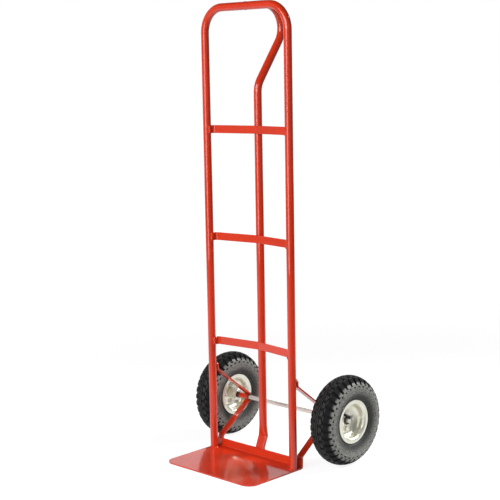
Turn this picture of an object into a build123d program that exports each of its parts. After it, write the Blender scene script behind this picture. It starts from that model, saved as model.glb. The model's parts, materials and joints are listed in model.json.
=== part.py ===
from build123d import *
import os
from math import cos, radians, sin, tan

# A sack truck with a P-shaped handle. +Z is up, the toe plate points to -Y and the axle lies along X.
# The origin is on the floor, under the middle of the whole truck. All sizes are in millimetres.

# Frame tubes
tube_diameter = 23.0
tube_wall = 1.5
upright_spacing = 320.0
hoop_height = 1300.5
hoop_bend_radius = 69.0

# Handle spine, measured back from the uprights and up from the floor or the hoop
spine_setback = 47.0
spine_kink_height = 1082.0
spine_kink_radius = 65.0
grip_corner_setback = 220.0
grip_corner_rise = 19.0
grip_radius = 65.0
cope_trim = 4.0
foot_blend_height = 92.0
foot_top_height = 60.0
foot_width = 30.0
foot_depth = 12.0
foot_face_bow = 0.3
foot_side_bow = 1.5
foot_floor_gap = 6.0

# Toe plate
plate_thickness = 4.0
plate_reach = 191.0
plate_side_margin = 2.0
plate_corner_radius = 32.0
plate_bend_radius = 3.0
lip_setback = 23.0
lip_height = 27.0
lip_corner_radius = 5.0

# Crossbars
crossbar_heights = {"bottom_crossbar": 333.0, "middle_crossbar": 645.5, "top_crossbar": 958.0}
strap_height = 23.0
strap_thickness = 4.0
crossbar_bow = 20.0
crossbar_mid_radius = 30.0
tab_bend_radius = 8.0
tab_overlap = 4.0

# Axle brackets
bar_width = 20.0
bar_thickness = 4.5
bar_end_radius = 9.5
bar_bend_radius = 9.0
upper_leg_angle = 37.2
lower_leg_angle = 36.0
bracket_tab_length = 21.6
bracket_foot_gap = 4.0

# Axle and what is on it
axle_diameter = 12.7
axle_setback = 144.0
axle_chamfer = 1.0
axle_end_margin = 4.0
slip_clearance = 0.02
sleeve_wall = 2.0
sleeve_clearance = 0.15
sleeve_length = 38.0
spacer_wall = 2.5
inner_washer_diameter = 20.0
outer_washer_diameter = 24.0
washer_thickness = 2.5
washer_clearance = 0.2
split_pin_diameter = 3.0
split_pin_wire = 2.4
split_pin_clearance = 0.2
split_pin_gap = 0.3
split_pin_stand = 1.5
split_pin_eye_radius = 3.0
split_pin_leg_angle = 55.0
split_pin_leg_length = 7.0

# Wheels, measured out from the wheel's middle plane
wheel_track = 467.5
tyre_diameter = 260.0
tyre_width = 82.0
tread_width = 61.0
tread_drop = 12.5
tread_thickness = 9.0
sidewall_thickness = 6.0
sidewall_widest_radius = 96.0
bead_width = 10.0
bead_chamfer = 6.8
inner_tube_wall = 1.5
inner_tube_gap = 0.2
rim_sheet = 2.5
bead_seat_radius = 50.8
rim_flange_radius = 63.0
rim_half_width = 31.0
rim_dish_radius = 16.0
rim_flange_bend_radius = 8.0
flange_tip_gap = 0.3
hub_diameter = 35.0
hub_bore_diameter = 23.0
hub_inner_reach = 39.0
hub_outer_reach = 5.0
hub_chamfer = 1.0

# Rim bolts and nuts
bolt_circle_diameter = 52.0
bolt_count = 4
bolt_diameter = 8.0
bolt_clearance = 0.2
bolt_head_height = 5.3
bolt_point = 2.0
hexagon_width = 13.0
nut_height = 6.5

# Tyre valve, out of the rim's seat and leaning in towards the axle
valve_forward_angle = 49.0
valve_lean = 55.0
valve_root_reach = 15.5
valve_root_depth = 10.5
valve_length = 34.5
valve_diameter = 8.0
valve_clearance = 0.3
valve_cap_diameter = 10.0
valve_cap_length = 12.0
valve_cap_grip = 6.0
valve_cap_clearance = 0.05

# Ball bearings in the hub
bearing_diameter = 28.575
bearing_width = 7.938
bearing_recess = 0.5
ball_diameter = 4.762
ball_count = 10
ball_clearance = 0.05
ring_thickness = 2.4
cage_thickness = 1.6
cage_width = 6.0
cage_clearance = 0.1
shield_thickness = 0.4
shield_inset = 0.3
shield_clearance = 0.1

# Derived places
tube_radius = tube_diameter / 2
axle_radius = axle_diameter / 2
tyre_radius = tyre_diameter / 2
upright_y = (plate_reach - axle_setback - tyre_radius) / 2
upright_x = upright_spacing / 2
spine_y = upright_y + spine_setback
plate_front_y = upright_y - plate_reach
lip_back_y = upright_y + lip_setback + plate_thickness
axle_y = upright_y + axle_setback
axle_z = tyre_radius
wheel_x = wheel_track / 2
axle_axis = Axis((0, axle_y, axle_z), (1, 0, 0))

os.makedirs("parts", exist_ok=True)


def save(piece, name):
    """Writes one finished piece."""
    piece.part.label = name
    export_step(piece.part, f"parts/{name}.step")


def save_pair(piece, name):
    """Writes the right-hand piece, and its mirror image as the left-hand one."""
    with BuildPart() as left_piece:
        mirror(piece.part, about=Plane.YZ)
    save(piece, "right_" + name)
    save(left_piece, "left_" + name)


def across_axle(x):
    """The plane square to the axle at x, facing outwards on the right."""
    return Plane(origin=(x, axle_y, axle_z), z_dir=(1, 0, 0))


def along_axle(x, lean_forward=0.0):
    """A plane that holds the axle, x along it and y away from it, turned forward from upright."""
    angle = radians(lean_forward)
    return Plane(origin=(x, axle_y, axle_z), x_dir=(1, 0, 0), z_dir=(0, -cos(angle), -sin(angle)))


def axle_ring(start, length, inner_radius, outer_radius):
    """A plain ring round the axle, from start outwards."""
    with BuildPart() as ring:
        with BuildSketch(across_axle(start)):
            Circle(outer_radius)
            Circle(inner_radius, mode=Mode.SUBTRACT)
        extrude(amount=length)
    return ring


def tube_length(run):
    """A length of frame tube along one straight run or one bend of its path."""
    with BuildPart() as length:
        with BuildSketch(Plane(origin=run @ 0, z_dir=run % 0)):
            Circle(tube_radius)
            Circle(tube_radius - tube_wall, mode=Mode.SUBTRACT)
        sweep(path=run)
    return length


# Frame hoop: both uprights and the top run in one bent tube, standing on the toe plate.
# Each straight run and each bend is a piece of its own.
with BuildLine(Plane.XZ.offset(-upright_y)) as hoop_path:
    FilletPolyline(
        (-upright_x, plate_thickness),
        (-upright_x, hoop_height),
        (upright_x, hoop_height),
        (upright_x, plate_thickness),
        radius=hoop_bend_radius,
    )
hoop_names = ("left_upright", "left_hoop_bend", "top_run", "right_hoop_bend", "right_upright")
for run_name, run in zip(hoop_names, hoop_path.wire().order_edges()):
    save(tube_length(run), run_name)

# Handle spine: up behind the crossbars, back, round the grip and forward to the top run, in pieces like the hoop's
hoop_top = Vector(0, upright_y, hoop_height)
grip_corner = Vector(0, upright_y + grip_corner_setback, hoop_height + grip_corner_rise)
spine_end = hoop_top + (grip_corner - hoop_top).normalized() * cope_trim
with BuildLine() as spine_path:
    FilletPolyline(
        (0, spine_y, foot_blend_height),
        (0, spine_y, spine_kink_height),
        grip_corner,
        spine_end,
        radius=[spine_kink_radius, grip_radius],
    )
*spine_runs, last_run = spine_path.wire().order_edges()
for run_name, run in zip(("spine_post", "handle_kink", "handle_slant", "grip_bend"), spine_runs):
    save(tube_length(run), run_name)

# The handle's last run is coped to fit the round of the top run
with BuildPart() as handle_top:
    add(tube_length(last_run).part)
    with BuildSketch(Plane(origin=hoop_top, z_dir=(1, 0, 0))):
        Circle(tube_radius)
    extrude(amount=tube_diameter, both=True, mode=Mode.SUBTRACT)
save(handle_top, "handle_top")


def section_arcs(corner_x, corner_y, half_width, half_depth):
    """Four arcs round a tube's section, through its corners and the middles of its sides."""
    ThreePointArc((corner_x, -corner_y), (half_width, 0), (corner_x, corner_y))
    ThreePointArc((corner_x, corner_y), (0, half_depth), (-corner_x, corner_y))
    ThreePointArc((-corner_x, corner_y), (-half_width, 0), (-corner_x, -corner_y))
    ThreePointArc((-corner_x, -corner_y), (0, -half_depth), (corner_x, -corner_y))


# Spine foot: the lower end of the spine, pressed flat and bent forward to the lip
foot_y = lip_back_y + foot_depth / 2
with BuildPart() as spine_foot:
    for inset, mode in ((0.0, Mode.ADD), (tube_wall, Mode.SUBTRACT)):
        round_radius = tube_radius - inset
        round_corner = round_radius * cos(radians(45))
        half_width = foot_width / 2 - inset
        half_depth = foot_depth / 2 - inset
        with BuildSketch(Plane((0, spine_y, foot_blend_height))):
            with BuildLine():
                section_arcs(round_corner, round_corner, round_radius, round_radius)
            make_face()
        for centre_y, height in ((spine_y, foot_top_height), (foot_y, lip_height), (foot_y, foot_floor_gap)):
            with BuildSketch(Plane((0, centre_y, height))):
                with BuildLine():
                    section_arcs(half_width - foot_side_bow, half_depth - foot_face_bow, half_width, half_depth)
                make_face()
        loft(ruled=True, mode=mode)
save(spine_foot, "spine_foot")

# Crossbars: straps bent back to the front of the spine, with a tab at each end on the inside of the upright
strap_mid_y = spine_y - tube_radius - strap_thickness / 2
strap_end_y = strap_mid_y - crossbar_bow
strap_end_x = upright_x - tube_radius - strap_thickness / 2
for crossbar_name, crossbar_height in crossbar_heights.items():
    with BuildPart() as crossbar:
        with BuildSketch(Plane.XY.offset(crossbar_height - strap_height / 2)):
            with BuildLine() as strap_path:
                FilletPolyline(
                    (-strap_end_x, upright_y - tab_overlap),
                    (-strap_end_x, strap_end_y),
                    (0, strap_mid_y),
                    (strap_end_x, strap_end_y),
                    (strap_end_x, upright_y - tab_overlap),
                    radius=[tab_bend_radius, crossbar_mid_radius, tab_bend_radius],
                )
            trace(strap_path.line, line_width=strap_thickness)
        extrude(amount=strap_height)
    save(crossbar, crossbar_name)

# Toe plate: one sheet on the floor, its rear edge bent up into a lip behind the uprights
lip_mid_y = lip_back_y - plate_thickness / 2
plate_half_width = upright_x + tube_radius + plate_side_margin
with BuildPart() as toe_plate:
    with BuildSketch(Plane.YZ):
        with BuildLine() as plate_path:
            FilletPolyline(
                (plate_front_y, plate_thickness / 2),
                (lip_mid_y, plate_thickness / 2),
                (lip_mid_y, lip_height),
                radius=plate_bend_radius + plate_thickness / 2,
            )
        trace(plate_path.line, line_width=plate_thickness)
    extrude(amount=plate_half_width, both=True)
    fillet(toe_plate.edges().filter_by(Axis.Z).group_by(Axis.Y)[0], plate_corner_radius)
    fillet(toe_plate.edges().filter_by(Axis.Y).group_by(Axis.Z)[-1], lip_corner_radius)
save(toe_plate, "toe_plate")

# Axle brackets: a flat bar down from the back of the upright, round the axle sleeve and forward to the lip
sleeve_bore_radius = axle_radius + sleeve_clearance
sleeve_radius = sleeve_bore_radius + sleeve_wall
crook_radius = sleeve_radius + bar_thickness / 2
upper_angle = radians(upper_leg_angle)
lower_angle = radians(lower_leg_angle)
bracket_tab_y = upright_y + tube_radius + bar_thickness / 2
bracket_foot_y = lip_back_y + bar_thickness / 2
upper_bend_z = axle_z + (axle_y - bracket_tab_y) * tan(upper_angle) + crook_radius / cos(upper_angle)
lower_bend_z = axle_z - (axle_y - bracket_foot_y) * tan(lower_angle) - crook_radius / cos(lower_angle)
crook_rise = crook_radius * (1 / cos(upper_angle) + 1 / cos(lower_angle))
crook_depth = crook_rise / (tan(upper_angle) + tan(lower_angle))
crook_y = axle_y + crook_depth
crook_z = axle_z - crook_depth * tan(upper_angle) + crook_radius / cos(upper_angle)
with BuildPart() as axle_bracket:
    with BuildSketch(Plane.YZ.offset(upright_x)):
        with BuildLine() as bar_path:
            FilletPolyline(
                (bracket_tab_y, upper_bend_z + bracket_tab_length),
                (bracket_tab_y, upper_bend_z),
                (crook_y, crook_z),
                (bracket_foot_y, lower_bend_z),
                (bracket_foot_y, bracket_foot_gap),
                radius=[bar_bend_radius, crook_radius, bar_bend_radius],
            )
        trace(bar_path.line, line_width=bar_thickness)
    extrude(amount=bar_width / 2, both=True)
    end_edges = axle_bracket.edges().filter_by(Axis.Y).group_by(Axis.Z)
    fillet(end_edges[0] + end_edges[-1], bar_end_radius)
save_pair(axle_bracket, "axle_bracket")

# Axle sleeves: short tubes in the crooks of the brackets, which reach out towards the wheels
sleeve_start = upright_x - bar_width / 2
sleeve_end = sleeve_start + sleeve_length
axle_sleeve = axle_ring(sleeve_start, sleeve_length, sleeve_bore_radius, sleeve_radius)
save_pair(axle_sleeve, "axle_sleeve")

# Places along the axle, from the bracket out to the end of the rod
split_pin_radius = split_pin_diameter / 2
inner_pin_x = sleeve_start - washer_thickness - split_pin_gap - split_pin_radius
inner_bearing_start = wheel_x - hub_inner_reach + bearing_recess
outer_bearing_end = wheel_x + hub_outer_reach - bearing_recess
outer_bearing_start = outer_bearing_end - bearing_width
outer_pin_x = outer_bearing_end + washer_thickness + split_pin_gap + split_pin_radius
axle_end_x = outer_pin_x + split_pin_radius + axle_end_margin
bearing_centres = [start + bearing_width / 2 for start in (inner_bearing_start, outer_bearing_start)]

# Axle: one rod through both brackets and both wheels, drilled for the four split pins
with BuildPart() as axle:
    with BuildSketch(across_axle(-axle_end_x)):
        Circle(axle_radius)
    extrude(amount=2 * axle_end_x)
    chamfer(axle.edges().filter_by(GeomType.CIRCLE), axle_chamfer)
    with BuildSketch(Plane((0, axle_y, axle_z))):
        with Locations(*[(side * x, 0) for side in (-1, 1) for x in (inner_pin_x, outer_pin_x)]):
            Circle(split_pin_radius + split_pin_clearance)
    extrude(amount=axle_diameter, both=True, mode=Mode.SUBTRACT)
save(axle, "axle")

# Washers and spacers
washer_bore = axle_radius + washer_clearance
inner_washer = axle_ring(sleeve_start - washer_thickness, washer_thickness, washer_bore, inner_washer_diameter / 2)
save_pair(inner_washer, "inner_washer")
outer_washer = axle_ring(outer_bearing_end, washer_thickness, washer_bore, outer_washer_diameter / 2)
save_pair(outer_washer, "outer_washer")
hub_spacer = axle_ring(
    sleeve_end, inner_bearing_start - sleeve_end, washer_bore, washer_bore + spacer_wall
)
save_pair(hub_spacer, "hub_spacer")

# Split pins: an eye above the axle, a shank through it and two legs spread below it
for pin_name, pin_x in (("inner_split_pin", inner_pin_x), ("outer_split_pin", outer_pin_x)):
    shank_low_z = axle_z - axle_radius - split_pin_stand
    shank_high_z = axle_z + axle_radius + split_pin_stand
    with BuildPart() as split_pin:
        with BuildSketch(Plane((pin_x, axle_y, shank_low_z))):
            Circle(split_pin_radius)
        extrude(amount=shank_high_z - shank_low_z)
        with Locations((pin_x, axle_y, shank_high_z + split_pin_eye_radius)):
            Torus(split_pin_eye_radius, split_pin_wire / 2, rotation=(0, 90, 0))
        for spread in (-split_pin_leg_angle, split_pin_leg_angle):
            with Locations(Location((pin_x, axle_y, shank_low_z), (spread, 0, 0))):
                Cylinder(
                    split_pin_wire / 2,
                    split_pin_leg_length,
                    align=(Align.CENTER, Align.CENTER, Align.MAX),
                )
    save_pair(split_pin, pin_name)

# Tyre: a hollow carcass with a rounded crown, bulging sides and a bead on each rim seat
flange_face = rim_half_width - rim_sheet
tyre_half = tyre_width / 2
tread_half = tread_width / 2
bead_top = rim_flange_radius + flange_tip_gap
shoulder_radius = tyre_radius - tread_drop


def side_arcs(crown_inset, side_inset):
    """Arcs down one side of the tyre's section: crown, shoulder, widest point and top of the bead, set in."""
    shoulder = (tread_half - side_inset, shoulder_radius - crown_inset)
    widest = (tyre_half - side_inset, sidewall_widest_radius)
    TangentArc((0, tyre_radius - crown_inset), shoulder, tangent=(1, 0))
    TangentArc(widest, shoulder, tangent=(0, 1))
    TangentArc(widest, (flange_face - side_inset, bead_top), tangent=(0, -1))


with BuildPart() as tyre:
    with BuildSketch(along_axle(wheel_x)):
        with BuildLine():
            side_arcs(0, 0)
            Polyline(
                (flange_face, bead_top),
                (flange_face, bead_seat_radius + bead_chamfer),
                (flange_face - bead_chamfer, bead_seat_radius),
                (flange_face - bead_width, bead_seat_radius),
                (flange_face - sidewall_thickness, bead_top),
            )
            side_arcs(tread_thickness, sidewall_thickness)
            Line((0, tyre_radius - tread_thickness), (0, tyre_radius))
        make_face()
        mirror(about=Plane.YZ)
    revolve(axis=axle_axis)
save_pair(tyre, "tyre")

# Where the tyre valve starts and which way it points
valve_plane = along_axle(wheel_x, valve_forward_angle)
valve_direction = valve_plane.x_dir * cos(radians(valve_lean)) - valve_plane.y_dir * sin(radians(valve_lean))
valve_root = valve_plane.from_local_coords((valve_root_reach, bead_seat_radius - rim_sheet, 0))
valve_start = valve_root - valve_direction * valve_root_depth
valve_end = valve_start + valve_direction * valve_length

# Inner tube: a thin skin that lines the tyre, closed over the rim seats and cut to seat the valve stem
inner_tube_inset = sidewall_thickness + inner_tube_gap
inner_tube_crown = tread_thickness + inner_tube_gap
inner_tube_low = bead_seat_radius + inner_tube_gap
with BuildPart() as inner_tube:
    with BuildSketch(along_axle(wheel_x)):
        with BuildLine():
            side_arcs(inner_tube_crown, inner_tube_inset)
            TangentArc((0, inner_tube_low), (flange_face - inner_tube_inset, bead_top), tangent=(1, 0))
            Line((0, inner_tube_low), (0, tyre_radius - inner_tube_crown))
        make_face()
        mirror(about=Plane.YZ)
        offset(amount=-inner_tube_wall, mode=Mode.SUBTRACT)
    revolve(axis=axle_axis)
    with BuildSketch(Plane(origin=valve_start, z_dir=valve_direction)):
        Circle(valve_diameter / 2)
    extrude(amount=valve_length, mode=Mode.SUBTRACT)
save_pair(inner_tube, "inner_tube")

# Rim halves: two pressed dishes, back to back and bolted together, round the hub
hub_radius = hub_diameter / 2
seat_mid_radius = bead_seat_radius - rim_sheet / 2
bolt_radius = bolt_diameter / 2
bolt_plane = across_axle(wheel_x)
for half_name, side in (("outer_rim_half", 1), ("inner_rim_half", -1)):
    with BuildPart() as rim_half:
        with BuildSketch(along_axle(wheel_x)):
            with BuildLine() as rim_path:
                FilletPolyline(
                    (side * rim_sheet / 2, hub_radius),
                    (side * rim_sheet / 2, seat_mid_radius),
                    (side * (rim_half_width - rim_sheet / 2), seat_mid_radius),
                    (side * (rim_half_width - rim_sheet / 2), rim_flange_radius),
                    radius=[rim_dish_radius, rim_flange_bend_radius],
                )
            trace(rim_path.line, line_width=rim_sheet)
        revolve(axis=axle_axis)
        with BuildSketch(bolt_plane):
            with PolarLocations(bolt_circle_diameter / 2, bolt_count):
                Circle(bolt_radius + bolt_clearance)
        extrude(amount=2 * rim_sheet, both=True, mode=Mode.SUBTRACT)
        if side > 0:
            with BuildSketch(Plane(origin=valve_start, z_dir=valve_direction)):
                Circle(valve_diameter / 2 + valve_clearance)
            extrude(amount=valve_length, mode=Mode.SUBTRACT)
    save_pair(rim_half, half_name)

# Rim bolts, heads outwards, and their nuts on the inner half
with BuildPart() as rim_bolts:
    with BuildSketch(bolt_plane.offset(rim_sheet)):
        with PolarLocations(bolt_circle_diameter / 2, bolt_count):
            RegularPolygon(hexagon_width / 2, 6, major_radius=False)
    extrude(amount=bolt_head_height)
    with BuildSketch(bolt_plane.offset(rim_sheet)):
        with PolarLocations(bolt_circle_diameter / 2, bolt_count):
            Circle(bolt_radius)
    extrude(amount=-(2 * rim_sheet + nut_height + bolt_point))
save_pair(rim_bolts, "rim_bolts")

with BuildPart() as rim_nuts:
    with BuildSketch(bolt_plane.offset(-rim_sheet)):
        with PolarLocations(bolt_circle_diameter / 2, bolt_count):
            RegularPolygon(hexagon_width / 2, 6, major_radius=False)
            Circle(bolt_radius, mode=Mode.SUBTRACT)
    extrude(amount=-nut_height)
save_pair(rim_nuts, "rim_nuts")

# Tyre valve: a rubber stem from the inner tube through the rim's seat, with a cap over its tip
with BuildPart() as valve_stem:
    with BuildSketch(Plane(origin=valve_start, z_dir=valve_direction)):
        Circle(valve_diameter / 2)
    extrude(amount=valve_length)
save_pair(valve_stem, "valve_stem")

with BuildPart() as valve_cap:
    cap_start = valve_end - valve_direction * valve_cap_grip
    with BuildSketch(Plane(origin=cap_start, z_dir=valve_direction)):
        Circle(valve_cap_diameter / 2)
    extrude(amount=valve_cap_length)
    with BuildSketch(Plane(origin=cap_start, z_dir=valve_direction)):
        Circle(valve_diameter / 2 + valve_cap_clearance)
    extrude(amount=valve_cap_grip, mode=Mode.SUBTRACT)
save_pair(valve_cap, "valve_cap")

# Hub: a barrel through both rim halves, mostly on the inner side, with a bearing seat at each end
bearing_radius = bearing_diameter / 2
seat_depth = bearing_width + bearing_recess
hub_start = wheel_x - hub_inner_reach
hub_length = hub_inner_reach + hub_outer_reach
with BuildPart() as hub:
    with BuildSketch(across_axle(hub_start)):
        Circle(hub_radius)
    extrude(amount=hub_length)
    chamfer(hub.edges().filter_by(GeomType.CIRCLE), hub_chamfer)
    with BuildSketch(across_axle(hub_start)):
        Circle(hub_bore_diameter / 2)
    extrude(amount=hub_length, mode=Mode.SUBTRACT)
    for seat_start in (hub_start, hub_start + hub_length - seat_depth):
        with BuildSketch(across_axle(seat_start)):
            Circle(bearing_radius)
        extrude(amount=seat_depth, mode=Mode.SUBTRACT)
save_pair(hub, "hub")

# Ball bearings: rings with a ball track, balls in a cage, and shields that close the gap between the rings
ball_radius = ball_diameter / 2
inner_ring_bore = axle_radius + slip_clearance
inner_ring_radius = inner_ring_bore + ring_thickness
outer_ring_bore = bearing_radius - ring_thickness
pitch_radius = (inner_ring_radius + outer_ring_bore) / 2
ring_bands = {
    "bearing_inner_rings": (inner_ring_bore, inner_ring_radius),
    "bearing_outer_rings": (outer_ring_bore, bearing_radius),
}
for ring_name, (ring_low, ring_high) in ring_bands.items():
    with BuildPart() as bearing_rings:
        for centre_x in bearing_centres:
            with BuildSketch(along_axle(centre_x)):
                with Locations((0, (ring_low + ring_high) / 2)):
                    Rectangle(bearing_width, ring_high - ring_low)
                with Locations((0, pitch_radius)):
                    Circle(ball_radius + ball_clearance, mode=Mode.SUBTRACT)
            revolve(axis=axle_axis)
    save_pair(bearing_rings, ring_name)

bearing_planes = [across_axle(centre_x) for centre_x in bearing_centres]
with BuildPart(*bearing_planes) as bearing_balls:
    with PolarLocations(pitch_radius, ball_count):
        Sphere(ball_radius)
save_pair(bearing_balls, "bearing_balls")

with BuildPart(*bearing_planes) as bearing_cages:
    Cylinder(pitch_radius + cage_thickness / 2, cage_width)
    Cylinder(pitch_radius - cage_thickness / 2, cage_width, mode=Mode.SUBTRACT)
    with PolarLocations(pitch_radius, ball_count):
        Cylinder(ball_radius + cage_clearance, 2 * cage_thickness, rotation=(0, 90, 0), mode=Mode.SUBTRACT)
save_pair(bearing_cages, "bearing_cages")

shield_reach = bearing_width / 2 - shield_inset
with BuildPart() as bearing_shields:
    for centre_x in bearing_centres:
        for shield_start in (centre_x - shield_reach, centre_x + shield_reach - shield_thickness):
            with BuildSketch(across_axle(shield_start)):
                Circle(outer_ring_bore)
                Circle(inner_ring_radius + shield_clearance, mode=Mode.SUBTRACT)
            extrude(amount=shield_thickness)
save_pair(bearing_shields, "bearing_shields")
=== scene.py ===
import json
from bisect import bisect_left
from collections import namedtuple
from math import atan2, copysign, cos, hypot, pi, radians, sin, tan

import bpy
from mathutils import Matrix, Vector


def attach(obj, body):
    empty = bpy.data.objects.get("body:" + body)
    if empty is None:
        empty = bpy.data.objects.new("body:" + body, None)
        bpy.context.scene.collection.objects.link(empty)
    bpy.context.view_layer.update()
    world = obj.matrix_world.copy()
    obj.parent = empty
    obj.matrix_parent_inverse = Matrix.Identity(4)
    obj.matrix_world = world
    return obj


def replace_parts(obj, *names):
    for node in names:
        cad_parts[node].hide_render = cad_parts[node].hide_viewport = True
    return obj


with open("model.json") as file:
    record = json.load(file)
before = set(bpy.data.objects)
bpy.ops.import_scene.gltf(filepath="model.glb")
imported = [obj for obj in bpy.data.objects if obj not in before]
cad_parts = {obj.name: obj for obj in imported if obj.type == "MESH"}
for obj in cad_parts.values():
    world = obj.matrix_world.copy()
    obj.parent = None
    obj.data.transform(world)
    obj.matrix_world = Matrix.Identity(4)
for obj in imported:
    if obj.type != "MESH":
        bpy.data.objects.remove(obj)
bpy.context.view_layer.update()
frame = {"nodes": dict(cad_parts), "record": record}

# The looks of a sack truck. Metres, +Z up, the toe plate towards -Y and the axle along X, as in the frame.
mm = 0.001

# Camera, worked out from the straight edges in the photograph
image_size = 500
focal_pixels = 1227.7
principal_point = (250.5, 265.9)
camera_place = Vector((2.4184, -2.5216, 1.1254))
camera_right = Vector((0.71858, 0.69522, -0.01774))
camera_up = Vector((-0.09710, 0.12555, 0.98732))

# Sizes that the added pieces share with the frame
tube_radius = 11.5 * mm
upright_x = 160 * mm
upright_y = -41.5 * mm
hoop_height = 1300.5 * mm
hoop_bend_radius = 69 * mm
spine_y = 5.5 * mm
spine_kink_height = 1082 * mm
grip_corner = Vector((0, 178.5 * mm, 1319.5 * mm))
handle_bend_radius = 65 * mm
foot_blend_height = 92 * mm
foot_top_height = 60 * mm
foot_width = 30 * mm
foot_depth = 12 * mm
foot_floor_gap = 6 * mm
foot_squareness = 8
strap_height = 23 * mm
strap_inner_x = 148.5 * mm
strap_back_y = -6 * mm
tab_front_y = -45.5 * mm
crossbar_heights = (333 * mm, 645.5 * mm, 958 * mm)
plate_top = 4 * mm
lip_back_y = -14.5 * mm
lip_top = 27 * mm
bar_half_width = 10 * mm
bracket_tab = (244 * mm, 262 * mm)
sleeve_radius = 8.5 * mm
wheel_x = 233.75 * mm
axle_y = 102.5 * mm
axle_z = 130 * mm

# Tyre section, as the frame's tyres have it: across from the wheel's middle plane, and out from the axle
crown_radius = 130 * mm
shoulder = (30.5 * mm, 117.5 * mm)
widest = (41 * mm, 96 * mm)
bead_top = (28.5 * mm, 63.3 * mm)
bead_seat_radius = 50.8 * mm
bead_chamfer = 6.8 * mm
bead_width = 10 * mm
crown_thickness = 9 * mm
side_thickness = 6 * mm
outline_steps = 100
lining_steps = 4

# Tread pattern: spans are distances from the crown's middle along the section, and gaps are shares of a pitch
pitch_count = 34
half_pitch = 0.5
gap_half = 0.17
gap_wall = 0.03
groove_depth = 4 * mm
groove_wall = 0.7 * mm
middle_rib_edge = 4.6 * mm
rib_sway = 1.8 * mm
block_span = (8.2 * mm, 15.0 * mm)
block_skew = 0.25
skew_span = (18 * mm, 40 * mm)
lug_span = (18.8 * mm, 48.0 * mm)
lug_steps = 14
shoulder_floor = 4.4 * mm
gap_fade = 7 * mm
notch_span = (49.2 * mm, 54.2 * mm)
notch_depth = 2.2 * mm
side_floor = 0.7 * mm
smooth_rows = ((56.5 * mm, 0), (59.0 * mm, 0), (62.0 * mm, 0.1 * mm))
thin_rib_spans = ((66.0 * mm, 67.2 * mm), (71.5 * mm, 72.7 * mm))
low_rows = ((78.0 * mm, side_floor), (83.0 * mm, side_floor))
rim_rib_span = (88.0 * mm, 90.4 * mm)

# Dust and painted light on the tyres, as shares of the side's full grey. The lighter block edges are dust and
# a painted highlight, and the dark band beside the rim and the black grooves are painted shade.
# Block and rib edges are lighter: dust, and a painted highlight where the edges catch light
edge_dust_and_highlight = 0.18
dust_start = (37 * mm, 43 * mm)
dust_thins = (55 * mm, 60 * mm)
dust_loss = 0.2
# Painted shade: the side's grey falls off towards the rim, in the hollow beside it
rim_shade_span = (65 * mm, 80 * mm)
rim_shade = 0.8
# Painted shade: grooves deeper than this are painted black, as they lie in shade
painted_shade_depth = 1.0 * mm

# Edges of added meshes that turn by more than this stay sharp
sharp_angle = radians(32)


def new_piece(name, points, faces, slot, body):
    """A mesh piece with smooth faces and sharp edges, riding on a body."""
    mesh = bpy.data.meshes.new(name)
    mesh.from_pydata(points, [], faces)
    mesh.validate()
    mesh.shade_smooth()
    mesh.set_sharp_from_angle(angle=sharp_angle)
    mesh.materials.append(materials[slot])
    piece = bpy.data.objects.new(name, mesh)
    bpy.context.scene.collection.objects.link(piece)
    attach(piece, body)
    return piece


def add_skin(points, faces, rings, closed=False):
    """Joins rings of points in turn, and closes both ends unless the last ring meets the first."""
    first = len(points)
    sides = len(rings[0])
    for ring in rings:
        points.extend(ring)
    spans = len(rings) if closed else len(rings) - 1
    for index in range(spans):
        here = first + index * sides
        there = first + (index + 1) % len(rings) * sides
        for step in range(sides):
            after = (step + 1) % sides
            faces.append((here + step, here + after, there + after, there + step))
    if not closed:
        last = first + (len(rings) - 1) * sides
        faces.append(tuple(reversed(range(first, first + sides))))
        faces.append(tuple(range(last, last + sides)))


# Materials, one for each slot of the record, with their noise in waves per metre
paint_shade_waves = 7
paint_sheen_waves = 60
paint_roughness = (0.28, 0.40)
paint_ripple_waves = 140
metal_shade_waves = 45
metal_mark_waves = 500
metal_mark_depth = 0.01 * mm
metal_sheen_shares = (0.75, 1.3)
rubber_mottle_waves = 330
rubber_mottle_range = (0.2, 1.55)
rubber_sheen_waves = 90
rubber_sheen_swing = 0.07
rubber_grain_waves = 1500
rubber_grain_depth = 0.03 * mm
black_roughness = 0.85
full_sheen_grey_share = 0.2


def new_material(name, **settings):
    """A material and its surface shader with these settings, which the sockets' names give."""
    material = bpy.data.materials.new(name)
    material.use_nodes = True
    surface = material.node_tree.nodes["Principled BSDF"]
    for socket, value in settings.items():
        surface.inputs[socket.replace("_", " ").title().replace("Ior", "IOR")].default_value = value
    return material, surface


def add_node(tree, kind, inputs=None, **settings):
    """A shader node with these settings. Inputs are values, or outputs of other nodes to link."""
    node = tree.nodes.new(kind)
    for name, value in settings.items():
        setattr(node, name, value)
    for name, value in (inputs or {}).items():
        if isinstance(value, bpy.types.NodeSocket):
            tree.links.new(value, node.inputs[name])
        else:
            node.inputs[name].default_value = value
    return node


def combine(tree, operation, first, second):
    """The result of a sum on two values."""
    return add_node(tree, "ShaderNodeMath", {0: first, 1: second}, operation=operation).outputs[0]


def along_aim(tree, vector, aim):
    """How far a vector reaches along the aim."""
    node = add_node(tree, "ShaderNodeVectorMath", {0: vector, 1: aim}, operation="DOT_PRODUCT")
    return node.outputs["Value"]


def noise(tree, scale, detail=3.0, stretch=(1, 1, 1)):
    """Noise that stays with the piece, its scale in waves per metre."""
    place = add_node(tree, "ShaderNodeTexCoord").outputs["Object"]
    stretched = add_node(tree, "ShaderNodeMapping", {"Vector": place, "Scale": stretch})
    inputs = {"Vector": stretched.outputs["Vector"], "Scale": scale, "Detail": detail}
    return add_node(tree, "ShaderNodeTexNoise", inputs).outputs["Fac"]


def spread(tree, value, low, high, start=0.3, end=0.7):
    """Maps a value from start..end to low..high."""
    inputs = {"Value": value, "From Min": start, "From Max": end, "To Min": low, "To Max": high}
    return add_node(tree, "ShaderNodeMapRange", inputs).outputs["Result"]


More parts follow.
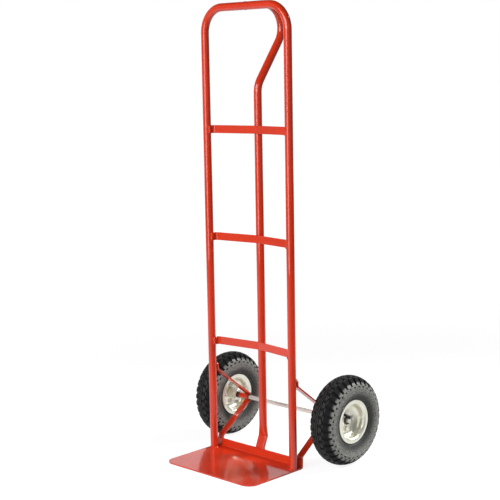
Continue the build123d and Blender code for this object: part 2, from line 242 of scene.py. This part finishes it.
def mix_colours(tree, factor, low, high):
    """Mixes two colours by a factor that comes from another node."""
    node = add_node(tree, "ShaderNodeMix", data_type="RGBA")
    for socket, value in (("Factor", factor), ("A", low), ("B", high)):
        places = [i for i in node.inputs if i.name == socket and i.enabled]
        if isinstance(value, bpy.types.NodeSocket):
            tree.links.new(value, places[-1])
        else:
            places[-1].default_value = (*value, 1)
    return [o for o in node.outputs if o.enabled][-1]


def bumps(tree, height, depth):
    """Small surface waves of the given depth."""
    node = add_node(tree, "ShaderNodeBump", {"Height": height, "Strength": 1.0, "Distance": depth})
    return node.outputs["Normal"]


def enamel(name, low, high, haze, ripple):
    """Glossy paint with faint uneven colour, a clear or hazy coat and the slight ripple of spray."""
    material, surface = new_material(
        name, coat_weight=1.0, coat_roughness=haze, coat_ior=1.5, specular_ior_level=0.1,
    )
    tree = material.node_tree
    shade = spread(tree, noise(tree, paint_shade_waves), 0, 1)
    tree.links.new(mix_colours(tree, shade, low, high), surface.inputs["Base Color"])
    sheen = spread(tree, noise(tree, paint_sheen_waves), *paint_roughness)
    tree.links.new(sheen, surface.inputs["Roughness"])
    waves = bumps(tree, noise(tree, paint_ripple_waves, detail=1.5), ripple)
    tree.links.new(waves, surface.inputs["Normal"])
    tree.links.new(waves, surface.inputs["Coat Normal"])
    return material


def bare_metal(name, low, high, roughness, metallic=1.0, stretch=(1, 1, 1)):
    """Bare or plated steel with fine marks, which the stretch draws out. Dull plating is less metallic."""
    material, surface = new_material(name, metallic=metallic)
    tree = material.node_tree
    marks = noise(tree, metal_mark_waves, detail=4, stretch=stretch)
    shade = spread(tree, noise(tree, metal_shade_waves), 0, 1)
    tree.links.new(mix_colours(tree, shade, low, high), surface.inputs["Base Color"])
    sheen = spread(tree, marks, *(roughness * share for share in metal_sheen_shares))
    tree.links.new(sheen, surface.inputs["Roughness"])
    tree.links.new(bumps(tree, marks, metal_mark_depth), surface.inputs["Normal"])
    return material


def rubber(name, low, high, roughness, shade=None):
    """Mottled rubber. A named value of the mesh takes it from black and matt to the high colour's sheen."""
    material, surface = new_material(name, specular_ior_level=0.3)
    tree = material.node_tree
    grain = noise(tree, rubber_grain_waves, detail=2)
    mottle = spread(tree, noise(tree, rubber_mottle_waves), *rubber_mottle_range)
    sheen_range = (roughness - rubber_sheen_swing, roughness + rubber_sheen_swing)
    sheen = spread(tree, noise(tree, rubber_sheen_waves), *sheen_range)
    if shade:
        grey_share = add_node(tree, "ShaderNodeAttribute", attribute_name=shade).outputs["Fac"]
        mottle = combine(tree, "MULTIPLY", grey_share, mottle)
        sheen = spread(tree, grey_share, black_roughness, sheen, start=0, end=full_sheen_grey_share)
    tree.links.new(mix_colours(tree, mottle, low, high), surface.inputs["Base Color"])
    tree.links.new(sheen, surface.inputs["Roughness"])
    tree.links.new(bumps(tree, grain, rubber_grain_depth), surface.inputs["Normal"])
    return material


materials = {
    "red_enamel": enamel(
        "red_enamel", (0.57, 0.030, 0.006), (0.64, 0.037, 0.008), haze=0.03, ripple=0.004 * mm,
    ),
    "plated_rim": bare_metal(
        "plated_rim", (0.86, 0.85, 0.71), (0.95, 0.94, 0.86), roughness=0.36, metallic=0.8,
    ),
    "zinc_plate": bare_metal(
        "zinc_plate", (0.74, 0.71, 0.66), (0.86, 0.84, 0.79),
        roughness=0.34, metallic=0.5, stretch=(0.1, 1, 1),
    ),
    # Near-black steel: on the washers and split pins by the hubs its dark tone is dark steel and partly
    # painted shade
    "dark_steel": bare_metal(
        "dark_steel", (0.10, 0.08, 0.06), (0.17, 0.14, 0.11), roughness=0.42,
    ),
    "bearing_steel": bare_metal(
        "bearing_steel", (0.52, 0.52, 0.52), (0.60, 0.60, 0.59), roughness=0.2,
    ),
    # The tyres' grey follows a value of their mesh: dust, painted highlights on block edges, painted shade in
    # grooves and by the rim
    "tyre_rubber": rubber(
        "tyre_rubber", (0.005, 0.005, 0.006), (0.29, 0.29, 0.27), roughness=0.4, shade="dust_and_painted_light",
    ),
    "tube_rubber": rubber(
        "tube_rubber", (0.010, 0.010, 0.010), (0.016, 0.016, 0.016), roughness=0.5,
    ),
    "black_plastic": rubber(
        "black_plastic", (0.010, 0.010, 0.010), (0.014, 0.014, 0.014), roughness=0.35,
    ),
}
for part in frame["record"]["subparts"]:
    for slot in frame["nodes"][part["node"]].material_slots:
        slot.material = materials[part["material_slot"]]

# The toe plate's paint is scuffed by loads
worn_enamel = enamel(
    "worn_enamel", (0.58, 0.030, 0.006), (0.66, 0.038, 0.008), haze=0.10, ripple=0.010 * mm,
)
for slot in frame["nodes"]["toe_plate"].material_slots:
    slot.material = worn_enamel

# The balls' meshes are joined at their seams, and sheet and bar edges are rounded a little
join_distance = 0.001 * mm
plate_rounding = 0.6 * mm
strap_rounding = 0.5 * mm
rounding_segments = 2
rounding_angle = radians(40)
for node_name in ("left_bearing_balls", "right_bearing_balls"):
    frame["nodes"][node_name].modifiers.new("join", "WELD").merge_threshold = join_distance
rounded_nodes = {
    "toe_plate": plate_rounding,
    "top_crossbar": strap_rounding,
    "middle_crossbar": strap_rounding,
    "bottom_crossbar": strap_rounding,
    "left_axle_bracket": plate_rounding,
    "right_axle_bracket": plate_rounding,
}
for node_name, width in rounded_nodes.items():
    node = frame["nodes"][node_name]
    node.modifiers.new("join", "WELD").merge_threshold = join_distance
    rounding = node.modifiers.new("round", "BEVEL")
    rounding.width = width
    rounding.segments = rounding_segments
    rounding.limit_method = "ANGLE"
    rounding.angle_limit = rounding_angle
    node.modifiers.new("shade", "WEIGHTED_NORMAL")


# Frame tubes: the hoop and the handle, each one bent tube
tube_sides = 48
bend_steps = 20
angles = [2 * pi * step / tube_sides for step in range(tube_sides)]


def filleted(corners, radius):
    """The path through the corners, with a bend of the given radius at each inner one."""
    path = [corners[0]]
    for before, corner, after in zip(corners, corners[1:], corners[2:]):
        into = (corner - before).normalized()
        away = (after - corner).normalized()
        turn = into.angle(away)
        inward = (away - into * into.dot(away)).normalized()
        centre = corner - into * radius * tan(turn / 2) + inward * radius
        for step in range(bend_steps + 1):
            angle = turn * step / bend_steps
            path.append(centre + (into * sin(angle) - inward * cos(angle)) * radius)
    return path + [corners[-1]]


def tube_rings(path, side):
    """Round sections along a flat path and square to it. Side points out of the path's plane."""
    rings = []
    for index, centre in enumerate(path):
        along = (path[min(index + 1, len(path) - 1)] - path[max(index - 1, 0)]).normalized()
        up = along.cross(side)
        rings.append([centre + (side * cos(angle) + up * sin(angle)) * tube_radius for angle in angles])
    return rings


def make_tube(name, rings, *nodes):
    """A frame tube in place of the frame's lengths of it."""
    points, faces = [], []
    add_skin(points, faces, rings)
    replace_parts(new_piece(name, points, faces, "red_enamel", "frame"), *nodes)


hoop_corners = [
    Vector((-upright_x, upright_y, plate_top)),
    Vector((-upright_x, upright_y, hoop_height)),
    Vector((upright_x, upright_y, hoop_height)),
    Vector((upright_x, upright_y, plate_top)),
]
make_tube(
    "hoop_tube", tube_rings(filleted(hoop_corners, hoop_bend_radius), Vector((0, 1, 0))),
    "left_upright", "left_hoop_bend", "top_run", "right_hoop_bend", "right_upright",
)


def squared(share):
    """Moves a sine or cosine out towards -1 or 1, which makes a circle into a rounded square."""
    return copysign(abs(share) ** (2 / foot_squareness), share)


def foot_ring(centre_y, height, flatness):
    """A level section of the spine's foot, round at flatness 0 and pressed to a rounded oblong at 1."""
    ring = []
    for angle in angles:
        circle = Vector((cos(angle), sin(angle))) * tube_radius
        pressed = Vector((squared(cos(angle)) * foot_width / 2, squared(sin(angle)) * foot_depth / 2))
        place = circle.lerp(pressed, flatness)
        ring.append(Vector((place.x, centre_y + place.y, height)))
    return ring


foot_y = lip_back_y + foot_depth / 2
foot_slope = (spine_y - foot_y) / (foot_top_height - lip_top)
crease = 0.8 * mm
foot_rings = [
    foot_ring(foot_y, foot_floor_gap, 1),
    foot_ring(foot_y, lip_top - crease, 1),
    foot_ring(foot_y + foot_slope * crease, lip_top + crease, 1),
    foot_ring(spine_y - foot_slope * crease, foot_top_height - crease, 1),
]
blend_steps = 10
for step in range(blend_steps):
    share = step / blend_steps
    height = foot_top_height + (foot_blend_height - foot_top_height) * share
    foot_rings.append(foot_ring(spine_y, height, 1 - share))

# The handle's top end is coped to the hoop, so its last section is drawn back at the sides
hoop_top = Vector((0, upright_y, hoop_height))
handle_back = (grip_corner - hoop_top).normalized()
handle_corners = [
    Vector((0, spine_y, foot_blend_height)),
    Vector((0, spine_y, spine_kink_height)),
    grip_corner,
    hoop_top,
]
handle_rings = tube_rings(filleted(handle_corners, handle_bend_radius), Vector((1, 0, 0)))
handle_rings[-1] = [place + handle_back * abs(place.x) for place in handle_rings[-1]]
make_tube(
    "handle_tube", foot_rings + handle_rings,
    "spine_foot", "spine_post", "handle_kink", "handle_slant", "grip_bend", "handle_top",
)


# Tyres: ribs and blocks cut into the frame's section, all round
Row = namedtuple("Row", "distance depth gap_depth sway phase dust", defaults=[0.0])


def arc_points(start, heading, end, count):
    """Points on the arc that leaves start along heading and ends at end, both ends included."""
    chord = Vector(end) - Vector(start)
    turn = atan2(heading[0] * chord.y - heading[1] * chord.x, heading[0] * chord.x + heading[1] * chord.y)
    points = []
    for step in range(count + 1):
        part_turn = turn * step / count
        reach = chord.length * sin(part_turn) / sin(turn)
        across = heading[0] * cos(part_turn) - heading[1] * sin(part_turn)
        out = heading[0] * sin(part_turn) + heading[1] * cos(part_turn)
        points.append((start[0] + reach * across, start[1] + reach * out))
    return points


def side_outline(crown_inset, side_inset, count):
    """Points down one side of the tyre's section, from the crown to the top of the bead, set in."""
    crown = (0, crown_radius - crown_inset)
    edge = (shoulder[0] - side_inset, shoulder[1] - crown_inset)
    bulge = (widest[0] - side_inset, widest[1])
    foot = (bead_top[0] - side_inset, bead_top[1])
    upper = arc_points(crown, (1, 0), edge, count)
    middle = arc_points(bulge, (0, 1), edge, count)[::-1]
    lower = arc_points(bulge, (0, -1), foot, count)
    return upper + middle[1:] + lower[1:]


outline = side_outline(0, 0, outline_steps)
distances = [0.0]
for before, after in zip(outline, outline[1:]):
    distances.append(distances[-1] + hypot(after[0] - before[0], after[1] - before[1]))


def on_outline(distance):
    """The point at a distance from the crown along the outline, and the direction out of the surface."""
    index = min(max(bisect_left(distances, distance), 1), len(outline) - 1)
    before, after = Vector(outline[index - 1]), Vector(outline[index])
    share = (distance - distances[index - 1]) / (distances[index] - distances[index - 1])
    along = (after - before).normalized()
    return before.lerp(after, share), Vector((-along.y, along.x))


def raised(start, end, sway=0.0, floor=groove_depth):
    """A rib round the tyre from start to end, with its walls down to the floor on both sides."""
    rows = [Row(start - groove_wall, floor, floor, sway, 0)]
    for distance, dust in ((start, edge_dust_and_highlight), ((start + end) / 2, 0), (end, edge_dust_and_highlight)):
        rows.append(Row(distance, 0, 0, sway, 0, dust))
    return rows + [Row(end + groove_wall, floor, floor, sway, 0)]


def block_row(start, end, phase, sway=0.0, floor=groove_depth):
    """A ring of blocks from start to end, with gaps between them and walls down to the floor."""
    rows = [Row(start - groove_wall, floor, floor, sway, phase)]
    for distance, dust in ((start, edge_dust_and_highlight), ((start + end) / 2, 0), (end, edge_dust_and_highlight)):
        rows.append(Row(distance, 0, floor, sway, phase, dust))
    return rows + [Row(end + groove_wall, floor, floor, sway, phase)]


def lug_row(start, end, count):
    """A ring of lugs from start, with gaps that run out into the side at end."""
    rows = [Row(start - groove_wall, shoulder_floor, shoulder_floor, 0, 0)]
    for step in range(count + 1):
        distance = start + (end - start) * step / count
        gap_depth = shoulder_floor * min((end - distance) / gap_fade, 1)
        rows.append(Row(distance, 0, gap_depth, 0, 0, 0 if step else edge_dust_and_highlight))
    return rows


def notch_row(start, end):
    """A ring of small notches in the side, between the lugs."""
    edges = ((start, 0), (start + groove_wall, notch_depth), (end - groove_wall, notch_depth), (end, 0))
    return [Row(distance, 0, gap_depth, 0, half_pitch) for distance, gap_depth in edges]


def plain(distance, depth):
    """A row with no pattern."""
    return [Row(distance, depth, depth, 0, 0)]


# The middle rib lies across the crown's middle, so each side has only its outer half
side_rows = plain(0, 0) + raised(0, middle_rib_edge, rib_sway)[2:]
side_rows += block_row(*block_span, half_pitch, rib_sway)
side_rows += lug_row(*lug_span, lug_steps)
side_rows += notch_row(*notch_span)
for distance, depth in smooth_rows:
    side_rows += plain(distance, depth)
for span in thin_rib_spans:
    side_rows += raised(*span, floor=side_floor)
for distance, depth in low_rows:
    side_rows += plain(distance, depth)
side_rows += raised(*rim_rib_span, floor=side_floor)
bead_points = [
    bead_top,
    (bead_top[0], bead_seat_radius + bead_chamfer),
    (bead_top[0] - bead_chamfer, bead_seat_radius),
    (bead_top[0] - bead_width, bead_seat_radius),
]
lining_points = side_outline(crown_thickness, side_thickness, lining_steps)[::-1]
columns = sorted(
    (phase + offset) % 1
    for phase in (0, half_pitch)
    for offset in (-gap_half - gap_wall, -gap_half, 0, gap_half, gap_half + gap_wall)
)


def step_up(value, start, end):
    """Goes from 0 at start to 1 at end."""
    return min(max((value - start) / (end - start), 0), 1)


def dust_and_painted_light_at(distance, depth, dust):
    """How grey the rubber is: dusty on the side and the lug ends, dust and a painted highlight on the block
    edges, painted shade beside the rim and in the grooves, and black elsewhere.
    """
    if depth > painted_shade_depth:
        return 0.0
    side_dust = step_up(distance, *dust_start) - dust_loss * step_up(distance, *dust_thins)
    return max(dust, side_dust * (1 - rim_shade * step_up(distance, *rim_shade_span)))


def tread_point(row, column, side):
    """A point of the patterned surface: its place across and out, and its share of dust and painted light."""
    share = (column + (half_pitch if side < 0 else 0)) % 1
    from_gap = abs((share - row.phase + half_pitch) % 1 - half_pitch)
    depth = row.gap_depth if from_gap < gap_half + gap_wall / 2 else row.depth
    zigzag = 4 * abs(share - half_pitch) - 1
    place, outward = on_outline(row.distance + row.sway * zigzag)
    place = place - outward * depth
    return side * place.x, place.y, dust_and_painted_light_at(row.distance, depth, row.dust)


def make_tyre(name, body, centre_x, mirrored):
    """A closed tyre: the patterned outside, the beads and the lining."""
    loop = []
    for side in (1, -1):
        patterned = [(row, side) for row in side_rows]
        smooth = [((side * across, out), None) for across, out in bead_points + lining_points]
        loop.append(patterned + smooth)
    # Both sides have the middle of the crown and of the lining, and the ring has each once
    ring = loop[0][:-1] + loop[1][::-1][:-1]
    points, faces, dust_and_painted_light = [], [], []
    pitch = 2 * pi / pitch_count
    for entry, side in ring:
        for tooth in range(pitch_count):
            for column in columns:
                if side is None:
                    across, out, shade = *entry, 0.0
                    skew = block_skew
                else:
                    across, out, shade = tread_point(entry, column, side)
                    skew = block_skew * step_up(entry.distance, *skew_span)
                dust_and_painted_light.append(shade)
                angle = (tooth + column + skew) * pitch
                points.append((
                    (-1 if mirrored else 1) * (centre_x + across),
                    axle_y + out * cos(angle),
                    axle_z + out * sin(angle),
                ))
    around = pitch_count * len(columns)
    for row in range(len(ring)):
        next_row = (row + 1) % len(ring)
        for step in range(around):
            next_step = (step + 1) % around
            face = (row * around + step, row * around + next_step,
                    next_row * around + next_step, next_row * around + step)
            faces.append(face[::-1] if mirrored else face)
    tyre = new_piece(name, points, faces, "tyre_rubber", body)
    # Each point keeps its share of dust and painted light, for the rubber's colour
    tyre.data.attributes.new("dust_and_painted_light", "FLOAT", "POINT").data.foreach_set("value", dust_and_painted_light)
    return tyre


for side_name, mirrored in (("left", True), ("right", False)):
    tyre = make_tyre(f"{side_name}_treaded_tyre", f"{side_name}_wheel", wheel_x, mirrored)
    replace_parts(tyre, f"{side_name}_tyre")


# Weld beads, one mesh, under the same paint as the frame
bead_sides = 8
bead_step = 0.7 * mm
bead_end_share = 0.45
ripple_length = 2.4 * mm
ripple_share = 0.14
off_path = Vector((0.31, 0.52, 0.79))
tab_bead = 1.7 * mm
tab_back_inset = 0.8 * mm
tab_back_shift = 5.5 * mm
spine_bead = 1.5 * mm
spine_seam_x = 4.6 * mm
spine_seam_shift = 0.4 * mm
bracket_bead = 1.5 * mm
bracket_seam_x = 4.8 * mm
seam_sink = 0.2 * mm
lip_bead = 1.6 * mm
lip_seam_low = 12 * mm
upright_foot_bead = 1.8 * mm
upright_foot_rise = 0.6 * mm
upright_foot_steps = 110
sleeve_bead = 1.5 * mm
sleeve_seam_rise = 0.7 * mm
sleeve_seam_start = 52
sleeve_seam_sweep = 105
sleeve_seam_steps = 24
spine_foot_bead = 1.5 * mm
spine_foot_inset = 3 * mm
spine_foot_shift = 0.8 * mm
spine_foot_low = 9 * mm
saddle_bead = 1.0 * mm
saddle_steps = 100
bead_turns = [2 * pi * step / bead_sides for step in range(bead_sides)]
weld_points, weld_faces = [], []


def add_bead(path, radius, closed=False):
    """Adds a rippled bead along a path of close points to the weld mesh."""
    rings = []
    travelled = 0.0
    count = len(path)
    for index, centre in enumerate(path):
        if closed:
            along = (path[(index + 1) % count] - path[index - 1]).normalized()
        else:
            along = (path[min(index + 1, count - 1)] - path[max(index - 1, 0)]).normalized()
        if index:
            travelled += (centre - path[index - 1]).length
        side = along.cross(off_path).normalized()
        up = along.cross(side)
        wave = 1 + ripple_share * sin(2 * pi * travelled / ripple_length)
        if not closed and index in (0, count - 1):
            wave *= bead_end_share
        rings.append([centre + (side * cos(turn) + up * sin(turn)) * radius * wave for turn in bead_turns])
    add_skin(weld_points, weld_faces, rings, closed)


def upright_seam(x, y, low, high):
    """Close points straight up from low to high."""
    start, end = Vector((x, y, low)), Vector((x, y, high))
    count = max(2, round((end - start).length / bead_step))
    return [start.lerp(end, step / count) for step in range(count + 1)]


half_strap = strap_height / 2
crossbar_seams = (
    (strap_inner_x, tab_front_y, tab_bead),
    (strap_inner_x + tab_back_inset, upright_y + tab_back_shift, tab_bead),
    (spine_seam_x, strap_back_y + spine_seam_shift, spine_bead),
)
for height in crossbar_heights:
    for x, y, radius in crossbar_seams:
        for side in (-1, 1):
            add_bead(upright_seam(side * x, y, height - half_strap, height + half_strap), radius)
for side in (-1, 1):
    for edge in (-1, 1):
        x = side * upright_x + edge * bracket_seam_x
        add_bead(upright_seam(x, upright_y + tube_radius - seam_sink, *bracket_tab), bracket_bead)
        x = side * upright_x + edge * bar_half_width
        add_bead(upright_seam(x, lip_back_y, lip_seam_low, lip_top), lip_bead)
    centre = Vector((side * upright_x, upright_y, plate_top))
    seam_radius = tube_radius + upright_foot_rise
    turns = [2 * pi * step / upright_foot_steps for step in range(upright_foot_steps)]
    upright_foot = [centre + seam_radius * Vector((cos(turn), sin(turn), 0)) for turn in turns]
    add_bead(upright_foot, upright_foot_bead, closed=True)
    centre = Vector((side * (upright_x + bar_half_width), axle_y, axle_z))
    seam_radius = sleeve_radius + sleeve_seam_rise
    sweeps = [sleeve_seam_sweep * step / sleeve_seam_steps for step in range(sleeve_seam_steps + 1)]
    turns = [radians(sleeve_seam_start - sweep) for sweep in sweeps]
    add_bead([centre + seam_radius * Vector((0, cos(turn), sin(turn))) for turn in turns], sleeve_bead)
    x = side * (foot_width / 2 - spine_foot_inset)
    add_bead(upright_seam(x, lip_back_y + spine_foot_shift, spine_foot_low, lip_top), spine_foot_bead)
handle_up = Vector((0, -handle_back.z, handle_back.y))
saddle = []
for step in range(saddle_steps):
    angle = 2 * pi * step / saddle_steps
    across = Vector((cos(angle), 0, 0)) + handle_up * sin(angle) + handle_back * abs(cos(angle))
    saddle.append(hoop_top + across * (tube_radius - seam_sink))
add_bead(saddle, saddle_bead, closed=True)
new_piece("frame_welds", weld_points, weld_faces, "red_enamel", "frame")

# Camera
camera_data = bpy.data.cameras.new("camera")
camera_data.sensor_width = 36
camera_data.lens = camera_data.sensor_width * focal_pixels / image_size
camera_data.shift_x = 0.5 - principal_point[0] / image_size
camera_data.shift_y = principal_point[1] / image_size - 0.5
camera = bpy.data.objects.new("camera", camera_data)
turn = Matrix((camera_right, camera_up, camera_right.cross(camera_up))).transposed()
camera.matrix_world = Matrix.Translation(camera_place) @ turn.to_4x4()
bpy.context.scene.collection.objects.link(camera)
bpy.context.scene.camera = camera

# Studio: a pale floor and backdrop, a pale wall to the front left, dark sides and three soft lamps
behind = Vector((-0.697, 0.717, 0))
behind_edge = (0.65, 0.85)
backdrop_top = (0.45, 0.60)
front_wall = Vector((-0.35, -0.937, 0))
front_wall_edge = (0.2, 0.6)
wall_level = 0.35
side_level = 0.22
ceiling_share = 0.2
ceiling_edge = (0.25, 0.6)
floor_half = 9
floor_drop = 0.2 * mm
lit_grey = 0.5
shadow_grey = 0.26
seen_distances = (0.8, 3.0)
seen_levels = (0.86, 1.0)
mirrored_distances = (2.2, 4.5)
from_right_front = Vector((-0.9, 0.43, 0))
right_front_edge = (-0.7, -0.45)
right_front_painted_shade = 0.25


def grey(level):
    """A grey colour."""
    return level, level, level, 1


def radial_level(tree, near, far, near_level, far_level):
    """A level that goes from near_level to far_level between two distances from the object."""
    place = add_node(tree, "ShaderNodeNewGeometry").outputs["Position"]
    distance = add_node(tree, "ShaderNodeVectorMath", {0: place}, operation="LENGTH").outputs["Value"]
    return spread(tree, distance, near_level, far_level, near, far)


def mix_shaders(tree, factor, first, second):
    """Goes from the first shader to the second with the factor."""
    inputs = {0: factor, 1: first.outputs[0], 2: second.outputs[0]}
    return add_node(tree, "ShaderNodeMixShader", inputs)


floor_mesh = bpy.data.meshes.new("floor")
corners = [(-floor_half, -floor_half, 0), (floor_half, -floor_half, 0),
           (floor_half, floor_half, 0), (-floor_half, floor_half, 0)]
floor_mesh.from_pydata(corners, [], [(0, 1, 2, 3)])
floor = bpy.data.objects.new("floor", floor_mesh)
floor.location.z = -floor_drop
bpy.context.scene.collection.objects.link(floor)
floor_material = bpy.data.materials.new("floor")
floor_material.use_nodes = True
tree = floor_material.node_tree
tree.nodes.clear()
rays = add_node(tree, "ShaderNodeLightPath").outputs

# The camera sees the floor nearly white with the shadow. Reflections see it as a glow with painted shade at
# the right front and a painted fall-off of light with distance.
mirrors = combine(tree, "MAXIMUM", rays["Is Glossy Ray"], rays["Is Transmission Ray"])
lit = add_node(tree, "ShaderNodeBsdfDiffuse", {"Color": grey(lit_grey)})
shaded = add_node(tree, "ShaderNodeBsdfDiffuse", {"Color": grey(shadow_grey)})
seen_level = radial_level(tree, *seen_distances, *seen_levels)
seen_glow = add_node(tree, "ShaderNodeEmission", {"Strength": seen_level})
place = add_node(tree, "ShaderNodeNewGeometry").outputs["Position"]
# Painted shade on the floor's reflection at the right front, and a painted fall-off of light with distance
near_level = spread(tree, along_aim(tree, place, from_right_front), right_front_painted_shade, 1.0, *right_front_edge)
far_level = radial_level(tree, *mirrored_distances, 1.0, side_level)
painted_reflection_level = combine(tree, "MULTIPLY", near_level, far_level)
painted_floor_reflection = add_node(tree, "ShaderNodeEmission", {"Strength": painted_reflection_level})
seen = add_node(tree, "ShaderNodeAddShader", {0: shaded.outputs[0], 1: seen_glow.outputs[0]})
unseen = mix_shaders(tree, mirrors, lit, painted_floor_reflection)
surface = mix_shaders(tree, rays["Is Camera Ray"], unseen, seen)
add_node(tree, "ShaderNodeOutputMaterial", {"Surface": surface.outputs[0]})
floor_mesh.materials.append(floor_material)

world = bpy.data.worlds.new("studio")
bpy.context.scene.world = world
world.use_nodes = True
tree = world.node_tree
tree.nodes.clear()
rays = add_node(tree, "ShaderNodeLightPath").outputs
direction = add_node(tree, "ShaderNodeTexCoord").outputs["Generated"]
height = add_node(tree, "ShaderNodeSeparateXYZ", {"Vector": direction}).outputs["Z"]


def towards(aim, start, end, low, high):
    """Goes from low to high as the world's direction comes nearer the aim."""
    return spread(tree, along_aim(tree, direction, aim), low, high, start, end)


backdrop_sides = towards(behind, *behind_edge, 0, 1)
backdrop_fade = spread(tree, height, 1, 0, *backdrop_top)
backdrop = combine(tree, "MULTIPLY", backdrop_sides, backdrop_fade)
back_level = spread(tree, backdrop, side_level, 1.0, start=0, end=1)
front_level = towards(front_wall, *front_wall_edge, side_level, wall_level)
ceiling = spread(tree, height, 1, ceiling_share, *ceiling_edge)
level = combine(tree, "MULTIPLY", combine(tree, "MAXIMUM", back_level, front_level), ceiling)
level = add_node(tree, "ShaderNodeMix", {0: rays["Is Camera Ray"], 2: level, 3: 1.0})
sky = add_node(tree, "ShaderNodeBackground", {"Color": grey(1), "Strength": level.outputs[0]})
add_node(tree, "ShaderNodeOutputWorld", {"Surface": sky.outputs[0]})


def add_lamp(name, place, target, size, power, cone=pi):
    """A large soft lamp that faces the target. A cone of less than pi keeps its light together."""
    lamp_data = bpy.data.lights.new(name, "AREA")
    lamp_data.shape = "RECTANGLE"
    lamp_data.size = size[0]
    lamp_data.size_y = size[1]
    lamp_data.energy = power
    lamp_data.spread = cone
    lamp = bpy.data.objects.new(name, lamp_data)
    lamp.location = place
    lamp.rotation_euler = (Vector(target) - Vector(place)).to_track_quat("-Z", "Y").to_euler()
    bpy.context.scene.collection.objects.link(lamp)


middle = (0, 0, 0.6)
below_axle = (0.1, 0.1, -0.3)
add_lamp("wheel_lamp", (1.6, 2.2, 2.3), below_axle, size=(1.4, 1.4), power=8, cone=radians(30))
add_lamp("front_lamp", (0.25, -3.5, 0.85), middle, size=(1.8, 1.8), power=46)
add_lamp("high_lamp", (0.2, -3.1, 2.1), middle, size=(3.0, 1.5), power=84)

bpy.context.scene.view_settings.view_transform = "Standard"
